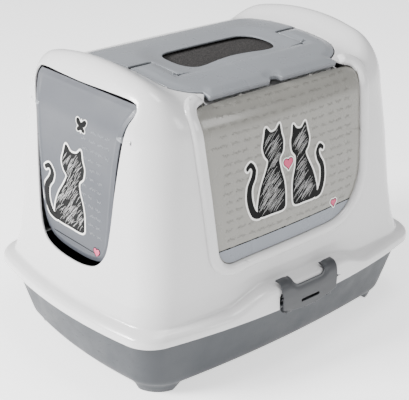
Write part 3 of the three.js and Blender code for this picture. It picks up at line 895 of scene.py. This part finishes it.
def fur(outline, count, seed, length, lean):
    """Short, nearly parallel strokes scattered inside an outline. Those that cross its edge are left out."""
    random = np.random.default_rng(seed)
    low, high = outline.min(0), outline.max(0)
    spots = random.uniform(low, high, (count * 6, 2))
    spots = spots[outline_distance(spots[None], outline)[0] < -3.2][:count]
    s = np.linspace(-0.5, 0.5, 5)[None, :]
    angle = lean + random.normal(0, 0.1, (len(spots), 1))
    reach = length * random.uniform(0.7, 1.3, (len(spots), 1))
    u = spots[:, :1] + reach * s * np.sin(angle) + reach * 0.18 * s ** 2
    v = spots[:, 1:] - reach * s * np.cos(angle)
    paths = np.stack([u, v], -1)
    return paths[(outline_distance(paths, outline) < -0.9).all(1)]


def squiggles(low, high, row_gap, seed, height):
    """Rows of word-long waves. Each wave is a sum of two sines with its own size and phase."""
    random = np.random.default_rng(seed)
    rows = np.arange(high[1], low[1], -row_gap)
    pitch = 15
    words = int((high[0] - low[0]) / pitch)
    start = low[0] + (np.arange(words)[None] + random.uniform(0, 0.3, (len(rows), words))) * pitch
    span = random.uniform(8, 13, start.shape)
    s = np.linspace(0, 1, 26)
    u = start[..., None] + span[..., None] * s + 0.5 * np.sin(20 * s)
    phase = random.uniform(0, 6, start.shape)[..., None]
    v = rows[:, None, None] + height * (np.sin(s * span[..., None] * 1.9 + phase) * 0.55
                                        + 0.3 * np.sin(s * span[..., None] * 0.8 + 2 * phase))
    return np.stack([u, v], -1).reshape(-1, 26, 2)


# %% Print on the panel
def on_panel(y, t, layer):
    """Place a flat-drawing point on the panel's face; layer counts film thicknesses up from it."""
    return side_point(y, t, 0.02 + 0.1 * layer - panel_sink(t))


T0 = up_wall(195)
left_cat = [moved(o, (-1.0, 1.0), (-6, T0)) for o in (sitting_cat, tail_line)]
right_cat = [moved(o, (0.93, 0.94), (-4, T0)) for o in (sitting_cat, tail_line)]
cats = left_cat + right_cat


STRIP_Z = 169.5
PRINT_MARGIN = 1.2


def strip_line(y):
    """Top edge of the strip: it climbs slightly along the wall."""
    return up_wall(STRIP_Z) + (y + 110) * 0.019


def strip_field(q):
    """The panel's foot, below the strip's line."""
    return np.minimum(panel_field(q) - PRINT_MARGIN, strip_line(q[..., 0]) - q[..., 1])


def rule_field(q):
    """A thin line along the top of the strip."""
    return np.minimum(panel_field(q) - PRINT_MARGIN, 0.55 - np.abs(q[..., 1] - strip_line(q[..., 0]) - 0.5))


PANEL_FACE = (on_panel, "panel", "flip_panel")
hearts = [moved(heart, (7.6, 7.6), (-4.8, up_wall(248))), moved(heart, (5.0, 5.4), (70, up_wall(178)))]
strip_area = ((-126, up_wall(147)), (126, up_wall(184)))
cat_area = ((-74, T0 - 5), (60, T0 + 108))
heart_area = ((-14, up_wall(168)), (78, up_wall(260)))
rim_area = ((-16, up_wall(166)), (80, up_wall(262)))
for print_film in (
        ("printed strip", strip_field, strip_area, 1.6, 1, STRIP_BLUE),
        ("printed line", rule_field, strip_area, 0.8, 2, INK),
        ("pale cat outlines", filled(cats, PALE_RIM), cat_area, 0.9, 2, PALE_INK),
        ("black cats", filled(cats), cat_area, 0.75, 3, INK),
        ("pink hearts", filled(hearts), heart_area, 0.6, 4, PINK_INK),
        ("dark heart edges", filled(hearts, DARK_RIM), heart_area, 0.6, 3.5, INK),
        ("pale heart edges", filled(hearts, 2.2), rim_area, 0.6, 3, PALE_INK)):
    film(*print_film, PANEL_FACE)
fur_paths = np.vstack([fur(left_cat[0], 170, 3, 15, -0.85), fur(right_cat[0], 160, 4, 15, -0.85)])
strokes("fur strokes", fur_paths, 0.35, 4, HATCH_INK, PANEL_FACE)
rows = squiggles((-118, up_wall(178)), (122, up_wall(338)), 11, 8, 2.6)
clear = (outline_distance(rows, PANEL_HOLE) < -9).all(1)
strokes("squiggle rows", rows[clear], 0.8, 1, SCRIPT_GREY, PANEL_FACE)

# %% [markdown]
# ## The swing flap
# A thin plate hangs from two pins near its top. Its top leans in with the shoulder of the hood, and a
# low bead runs round it to stiffen it. It is drawn flat in x and z.

# %% Flap plate
lean_z = np.linspace(FLAP_LOW[2] - 20, FLAP_HIGH[2] + 6, 200)
lean_y = np.interp(lean_z, [130, 200, 270, 310, 328, 348], [-205, -203, -199, -194.5, -187.5, -173])
lean_y = np.convolve(np.pad(lean_y, 9, "edge"), np.ones(19) / 19, "valid")


def on_flap(x, z, layer):
    """A flat x, z point on the flap's face, moved out by layers of 0.1 mm along its normal."""
    y = np.interp(z, lean_z, lean_y)
    slope = (np.interp(z + 1, lean_z, lean_y) - np.interp(z - 1, lean_z, lean_y)) / 2
    size = np.sqrt(1 + slope ** 2)
    out = 0.1 * layer
    return np.stack([x + 0 * z, y - out / size, z + out * slope / size], -1)


def flap_field(q):
    """Inside the doorway less its gap, and under the doorway's head."""
    return np.minimum(-outline_distance(q, DOORWAY) - 2.4, FLAP_HIGH[2] - 0.6 - q[..., 1])


flap_grid, flap_faces = trim(flat_grid((-98, 142), (98, 346), 1.5), flap_field)
from_edge = flap_field(flap_grid)
bead = 7 * np.exp(-((from_edge - 5.5) / 1.3) ** 2) - 4 * smooth(1 - from_edge / 3)
flap_points = on_flap(flap_grid[..., 0], flap_grid[..., 1], bead - 0.5)
flap = shape_object("swing flap", flap_points, flap_faces, SMOKE, "door")
thicken(flap, 2.2, 0.5)
pin = lathe(round_pin(2.4, 74, 94), (0, AXLE_Y, AXLE_Z), 0)
tab_profile = [(2.2, 76), (4.2, 76.5), (4.4, 78), (4.4, 83), (4.2, 84.5), (2.2, 85)]
tab = lathe(tab_profile, (0, AXLE_Y - 0.6, AXLE_Z), 0)
pivots = shape_object("flap pivots", *joined([pin, mirrored(pin), tab, mirrored(tab)]), TOP_GREY, "door")
for piece in (flap, pivots):
    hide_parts("entry_door")

# %% Print on the flap
FLAP_FACE = (on_flap, "door", "entry_door")
door_cat = [moved(o, (-1.42, 0.97), (26, 173)) for o in (sitting_cat, tail_line)]
door_area = ((-72, 168), (34, 277))
film("pale cat outline on the flap", filled(door_cat, PALE_RIM), door_area, 0.9, 2, PALE_INK, FLAP_FACE)
film("black cat on the flap", filled(door_cat), door_area, 0.75, 3, INK, FLAP_FACE)
strokes("fur strokes on the flap", fur(door_cat[0], 190, 5, 14, -0.7), 0.35, 4, HATCH_INK, FLAP_FACE)
wings = [(5.2, 3.6, 5.5, 3.6, 0.7), (-5.2, 3.6, 5.5, 3.6, -0.7),
         (4, -3.6, 4, 2.7, -0.5), (-4, -3.6, 4, 2.7, 0.5), (0, 0, 1.3, 5.0, 0)]


def butterfly(grow):
    """Union of four tilted ellipses and a slim body."""
    def field(q):
        parts = []
        for cx, cz, a, b, tilt in wings:
            u, v = q[..., 0] - 10 - cx, q[..., 1] - 301 - cz
            along, across = u * math.cos(tilt) + v * math.sin(tilt), v * math.cos(tilt) - u * math.sin(tilt)
            parts.append((1 - np.hypot(along / a, across / b)) * min(a, b) + grow)
        return np.max(parts, axis=0)
    return field


fly_area = ((-4, 288), (24, 314))
love_area = ((32, 149), (52, 169))
door_heart = [moved(heart, (6.0, 6.4), (42, 159))]
for print_film in (
        ("pale butterfly edge", butterfly(DARK_RIM), fly_area, 0.5, 2, PALE_INK),
        ("butterfly", butterfly(0), fly_area, 0.5, 3, INK),
        ("pink heart on the flap", filled(door_heart), love_area, 0.5, 4, PINK_INK),
        ("dark heart edge on the flap", filled(door_heart, DARK_RIM), love_area, 0.5, 3, INK)):
    film(*print_film, FLAP_FACE)
ground = np.stack([np.linspace(-60, 46, 40), np.full(40, 156.5)], -1)[None]
strokes("line on the flap", ground, 1.0, 2, INK, FLAP_FACE)
door_rows = squiggles((10, 172), (74, 300), 11, 12, 2.4)
door_rows = door_rows[(outline_distance(door_rows, DOORWAY) < -13).all(1)]
strokes("squiggle rows on the flap", door_rows, 0.75, 1, FLAP_PRINT, FLAP_FACE)

# %% [markdown]
# ## Lid and carry handle
# Both lie in the roof well and follow the roof's arch. The lid is dished towards its finger slot so the
# hand finds the bar. The handle is a U: a wide front bar with a thumb notch, and an arm along each end
# of the lid, hinged on pins. Both are drawn from above in x and y.

# %% Lid and handle outlines
LID_OUTLINE = plan_outline(0, 22)
ARM_Y = 98
BAR_X = 62
PIVOT_X = 22
THUMB_RADIUS = 9
LID_RISE = 1.6                          # heights over the roof's arch
GRIP_RISE = 2.8


def arm_distance(x, y, tail):
    """Distance to the U of the handle: two arms joined by the bar, negative on it."""
    arms = np.maximum(ARM_Y - np.abs(y), PIVOT_X - tail - x)
    return np.minimum(arms, BAR_X - x)


half_slot = [(-15, -40), (-13, -58), (-3, -69), (14, -73), (33, -72), (46, -64), (49, -50), (44.5, -25)]
SLOT = closed_curve([(-15.5, 0)] + half_slot + [(42, 0)] + [(x, -y) for x, y in half_slot[::-1]])


def lid_field(q):
    """On the lid: inside the outline, clear of the handle and of the finger slot."""
    x, y = q[..., 0], q[..., 1]
    clear = np.minimum(arm_distance(x, y, 8.6) - 0.6, outline_distance(q, SLOT))
    return np.minimum(-outline_distance(q, LID_OUTLINE), clear)


def handle_field(q):
    """On the handle: inside the outline, on the U, outside the thumb notch."""
    x, y = q[..., 0], q[..., 1]
    notch = np.hypot(x - LIP_X - 2, y) - THUMB_RADIUS
    return np.minimum(np.minimum(-outline_distance(q, LID_OUTLINE), -arm_distance(x, y, 5)), notch)


# %% Lid
lid_grid, lid_faces = trim(flat_grid((WELL_BACK - 2, -133), (66, 133), 1.9), lid_field)
to_slot = outline_distance(lid_grid, SLOT)
dish = 3.8 * smooth(1 - to_slot / 34) + 0.4 * smooth(1 - lid_field(lid_grid) / 4)
lid_z = arch(lid_grid[..., 0]) + LID_RISE - dish
lid = shape_object("filter lid", np.dstack([lid_grid, lid_z]), lid_faces, TOP_GREY, "lid")
thicken(lid, 2.4, 0.7, 3)
hinge_rod = lathe(round_pin(2.6, -70, 70), (WELL_BACK + 3.4, 0, arch(WELL_BACK) - 1.6), 1)
rod = shape_object("lid hinge rod", *hinge_rod, TOP_GREY, "lid")

# %% Handle
grip_grid, grip_faces = trim(flat_grid((PIVOT_X - 8, -133), (LIP_X + 2, 133), 1.9), handle_field)
gx = grip_grid[..., 0]
from_rim = handle_field(grip_grid)
soft_edge = 2.2 * smooth(1 - from_rim / 12)
grip_z = arch(gx) + GRIP_RISE - soft_edge
grip = shape_object("carry handle", np.dstack([grip_grid, grip_z]), grip_faces, TOP_GREY, "handle")
thicken(grip, 6.2, 1.1, 3)
pin_z = arch(PIVOT_X) - 4.5
arm_pin = lathe(round_pin(2.5, WELL_Y - 4, WELL_Y + 4), (PIVOT_X, 0, pin_z), 1)
far_pin = mirrored(arm_pin, (1, -1, 1))
pins = shape_object("handle pins", *joined([arm_pin, far_pin]), TOP_GREY, "handle")
for piece, node in ((lid, "filter_lid"), (rod, "filter_lid"), (grip, "handle"), (pins, "handle")):
    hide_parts(node)

# %% [markdown]
# ## The foam filter
# A cut slab of open-cell foam lies on the slotted floor under the lid. Its skin is a grid with rounded
# edges and a seeded roughness, so the slot shows a lively dark surface and not a flat one.

# %% Foam slab
FOAM_DROP = 7.2                         # top of the foam under the roof's arch
random = np.random.default_rng(21)
foam_grid = flat_grid(FOAM_LOW[:2] + 0.4, FOAM_HIGH[:2] - 0.4, 1.5)
fx, fy = foam_grid[..., 0], foam_grid[..., 1]
inward_x = np.minimum(fx - FOAM_LOW[0], FOAM_HIGH[0] - fx)
inward_y = np.minimum(fy - FOAM_LOW[1], FOAM_HIGH[1] - fy)
inward = np.minimum(inward_x, inward_y)
foam_z = arch(fx) - FOAM_DROP - 1.6 * smooth(1 - inward / 4) - random.uniform(0, 0.7, fx.shape)
foam_slab = shape_object("carbon foam slab", np.dstack([foam_grid, foam_z]), [cells(fx.shape)], FOAM, "hood")
thicken(foam_slab, 5.0, 0)
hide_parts("carbon_filter")

# %% [markdown]
# ## The clips
# Each clip is a sprung plate hinged under the pan's rim. Its head curls over the hood's ledge, and a
# thumb recess and a slot are moulded into it. It is drawn flat: y along it and s up its section.

# %% Clip plate
section = np.array([(184.0, 72), (185.6, 86), (185.9, 99), (184.9, 109),
                    (182.6, 115.6), (178, 119.6), (171, 120.2)])
section = even_path(section, 0.8)
for _ in range(12):
    section[1:-1] = (section[:-2] + 2 * section[1:-1] + section[2:]) / 4
section_s = np.concatenate([[0], np.cumsum(np.linalg.norm(np.diff(section, axis=0), axis=1))])


THUMB_S = section_s[np.argmax(section[:, 1] > 110.5)]


def rounded_box(u, v, centre, half, radius):
    """Signed distance to a rectangle with round corners, negative inside."""
    du = np.abs(u - centre[0]) - half[0] + radius
    dv = np.abs(v - centre[1]) - half[1] + radius
    outside = np.hypot(np.maximum(du, 0), np.maximum(dv, 0))
    return outside + np.minimum(np.maximum(du, dv), 0) - radius


CLIP_FOOT_Z = 84
CLIP_SLOT_Z = 88


def clip_field(q):
    """Inside the clip: above its curved foot, between its leaning sides, outside the slot."""
    y, s = q[..., 0], q[..., 1]
    z = np.interp(s, section_s, section[:, 1])
    foot = z - (CLIP_FOOT_Z - 7.5 * (1 - (y / 42) ** 2))
    sides = CLIP_HALF - 1.5 + 1.5 * np.clip((z - CLIP_FOOT_Z) / 30, 0, 1) - np.abs(y)
    slot = np.hypot(np.maximum(np.abs(y) - 13.3, 0), z - CLIP_SLOT_Z) - 1.8
    thumb = rounded_box(y, s, (0, THUMB_S + 30), (26, 30), 9)
    return np.minimum(np.minimum(foot, sides), np.minimum(slot, thumb))


clip_grid, clip_faces = trim(flat_grid((-CLIP_HALF - 1, 0), (CLIP_HALF + 1, section_s[-1]), 1.1), clip_field)
cy, cs = clip_grid[..., 0], clip_grid[..., 1]
cz = np.interp(cs, section_s, section[:, 1])
lip = rounded_box(cy, cs, (0, THUMB_S + 30), (26, 30), 9)
scoop = 1.5 * smooth(1 - lip / 9) - 0.9 * smooth(1 - lip / 3)
cx = np.interp(cs, section_s, section[:, 0])
lean_in = np.interp(cs, section_s, np.gradient(section[:, 0], section_s))
up = np.interp(cs, section_s, np.gradient(section[:, 1], section_s))
clip_points = np.stack([cx - scoop * up, cy, cz + scoop * lean_in], -1)
knuckles = [lathe(round_pin(3.4, start, stop, 0.4), (ROD_X, 0, ROD_Z), 1)
            for start, stop in ((-38, -29), (-20, 20), (29, 38))]


def bar(outline, rows, scale):
    """A bar along y: the x, z outline at four rows, scaled about its middle, with capped ends."""
    middle = outline.mean(0)
    flat = middle + (outline - middle)[None] * np.array(scale)[:, None, None]
    along = np.broadcast_to(np.array(rows)[:, None], flat.shape[:2])
    size = len(outline)
    caps = [np.arange(size)[None], (3 * size + np.arange(size)[::-1])[None]]
    return np.stack([flat[..., 0], along, flat[..., 1]], -1), [cells((4, size), True)[:, ::-1]] + caps


def web(start, stop):
    """A short rib that joins a knuckle to the plate."""
    corners = [(ROD_X, ROD_Z - 2), (183.4, ROD_Z - 2), (183.4, ROD_Z + 2), (ROD_X, ROD_Z + 2)]
    return bar(rounded(corners, [0.5] * 4, 3), np.linspace(start, stop, 4), (1, 1, 1, 1))


webs = [web(*ends) for ends in ((-37.6, -29.4), (-19.6, 19.6), (29.4, 37.6))]
for side, body in ((1, "latch_right"), (-1, "latch_left")):
    plate = (clip_points, clip_faces) if side > 0 else mirrored((clip_points, clip_faces))
    inner = joined(knuckles + webs)
    inner = inner if side > 0 else mirrored(inner)
    clip = shape_object(f"{body} plate", plate[0], plate[1], CLIP_GREY, body)
    thicken(clip, 2.0, 0.6)
    hinge = shape_object(f"{body} knuckles", inner[0], inner[1], CLIP_GREY, body)
    for piece in (clip, hinge):
        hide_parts(body)

# %% [markdown]
# ## The pan
# A deep-drawn looking tub with a rolled rim that carries the hood. One closed skin does it: it starts
# at the middle of the underside, runs out over the feet, up the outside, over the rim, down the inside
# and back to the middle of the floor.

# %% Pan skin
FLOOR_Z = 10.6
FLOOR_TOP = 13.6
RIM_Z = 84
top = np.array([171, 230, 28, 24, 38], float)
base = np.array([147.5, 212.5, 14, 17, 45], float)


def inset(shape, t):
    """The outline moved in by t."""
    return shape - np.array([t, t, 0, 0, t])


def pan_level(shape, z):
    """One row: outline and height."""
    return [*shape, z]


under = [pan_level(base * s, FLOOR_Z) for s in np.linspace(0.03, 0.62, 12)]
under += [pan_level(inset(base, t), FLOOR_Z) for t in (50, 40, 30, 20, 12, 8, 5)]
rim = inset(top, -5.5)
inner_top = inset(top, 3)
outside = [pan_level(base, FLOOR_Z + 6), pan_level(top, RIM_Z), pan_level(rim, 84.6),
           pan_level(rim, 88), pan_level(top, 88.6), pan_level(top, PAN_HIGH[2])]
inside = [pan_level(inner_top, PAN_HIGH[2]), pan_level(inner_top, RIM_Z), pan_level(inset(base, 3), 22.6)]
inside += [pan_level(inset(base, t), FLOOR_TOP) for t in (12, 20, 30, 40, 50)]
inside += [pan_level(base * s, FLOOR_TOP) for s in np.linspace(0.62, 0.03, 8)]
pan_control = np.array(under + outside + inside)
middle = (pan_control[1:] + pan_control[:-1]) / 2
spacing = np.where(middle[:, 0] < 149, 3.0, 3.6)
spacing = np.where(middle[:, 0] < 80, 12, spacing)
spacing = np.where(middle[:, 5] > 80, 0.9, spacing)
pan_rows = resample(pan_control, pan_control[:, 5], spacing, passes=2)
pan_x, pan_y = ring(pan_rows, 28, 16, 20)
pan_z = np.broadcast_to(pan_rows[:, 5:6], pan_x.shape).copy()
is_under = np.arange(len(pan_rows)) < np.argmax(pan_rows[:, 5] > FLOOR_Z + 2.5)
foot_reach = np.hypot(np.abs(pan_x) - 126, np.abs(pan_y) - 191)
in_from_base = base[0] - pan_rows[:, 0:1]
foot = smooth((38 - foot_reach) / 14) * smooth((in_from_base - 4.5) / 5)
pan_z[is_under] = (pan_rows[:, 5:6] * (1 - foot))[is_under]
pan_points = np.stack([pan_x, pan_y, pan_z], -1)
pan_poles = np.array([[0, 0, FLOOR_Z], [0, 0, FLOOR_TOP]])
pan_all = np.vstack([pan_points.reshape(-1, 3), pan_poles])
pan = shape_object("pan", pan_all, closed_cells(pan_x.shape), PAN_GREY, "tray")
pan.modifiers.new("Shading", "WEIGHTED_NORMAL")


def lug(y):
    """A rounded ear under the pan's rim that holds the clip's rod."""
    ear = arc((ROD_X, ROD_Z), 3.6, -90, 90, 12)
    outline = np.vstack([ear, [[169, ROD_Z + 3.6]], [[169, ROD_Z - 3.6]]])
    return bar(outline, np.array([-3, -2.6, 2.6, 3]) + y, (0.9, 1, 1, 0.9))


lugs = [lug(-25), lug(25)]
lugs += [mirrored(piece) for piece in lugs]
ears = shape_object("clip ears", *joined(lugs), PAN_GREY, "tray")
for piece in (pan, ears):
    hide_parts("tray")
for name in ("latch_rod_right", "latch_rod_left"):
    for item in bpy.data.objects:
        if item.type == "MESH" and item.name.startswith(name):
            item.data.materials.clear()
            item.data.materials.append(PIN_GREY)

# %% [markdown]
# ## Floor, light and camera
# A pale floor and a bright, even room show a white object without burning it out. One large soft key
# comes from the left front, a weaker fill from the right, and a top light draws the roof's highlights.

# %% Floor and room
floor_u = np.linspace(-4.5, 4.5, 19)
floor_points = np.stack([*np.meshgrid(floor_u * 1000, floor_u * 1000), np.full((19, 19), -0.2)], -1)
floor_paint = plastic("pale floor", (0.86, 0.86, 0.86), 0.004, 0.65, 0.05, 0.00001, 900,
                      0.00001, scratch=0.0)
glow = floor_paint.node_tree.nodes["Principled BSDF"]
glow.inputs["Emission Color"].default_value = (1, 1, 1, 1)
glow.inputs["Emission Strength"].default_value = 1.3
mesh = bpy.data.meshes.new("floor")
mesh.from_pydata((floor_points.reshape(-1, 3) / 1000).tolist(), [], cells((19, 19)).tolist())
mesh.materials.append(floor_paint)
floor = bpy.data.objects.new("floor", mesh)
bpy.context.collection.objects.link(floor)
world = bpy.data.worlds.new("bright room")
world.use_nodes = True
world.node_tree.nodes["Background"].inputs["Color"].default_value = (0.97, 0.98, 1.0, 1)
world.node_tree.nodes["Background"].inputs["Strength"].default_value = 0.5
bpy.context.scene.world = world


# %% Lights
def soft_light(name, place, aim, size, power, colour=(1, 1, 1)):
    """A square area light at place, turned to face aim. Its own axis -Z points at the aim."""
    lamp = bpy.data.lights.new(name, "AREA")
    lamp.size = size
    lamp.energy = power
    lamp.color = colour
    holder = bpy.data.objects.new(name, lamp)
    back = np.array(place, float) - np.array(aim, float)
    back /= np.linalg.norm(back)
    right = np.cross([0, 0, 1], back)
    right /= np.linalg.norm(right)
    axes = np.column_stack([right, np.cross(back, right), back])
    turn = Matrix(axes.tolist()).to_4x4()
    turn.translation = place
    holder.matrix_world = turn
    bpy.context.collection.objects.link(holder)


soft_light("key", (-0.7, -2.1, 1.5), (0, 0, 0.2), 0.9, 190)
soft_light("fill", (2.2, 1.0, 1.2), (0, 0, 0.2), 0.8, 16)
soft_light("top", (0.5, 0.2, 2.3), (0, 0, 0.3), 0.8, 22)

# %% Camera
camera_data = bpy.data.cameras.new("camera")
camera_data.sensor_width = 36
camera_data.sensor_fit = "HORIZONTAL"
camera_data.lens = 93.04
camera = bpy.data.objects.new("camera", camera_data)
camera.matrix_world = Matrix(((0.6480, -0.3121, 0.6947, 0.9396), (0.7616, 0.2691, -0.5895, -0.8048),
                              (-0.0029, 0.9111, 0.4121, 0.7095), (0, 0, 0, 1)))
bpy.context.collection.objects.link(camera)
bpy.context.scene.camera = camera
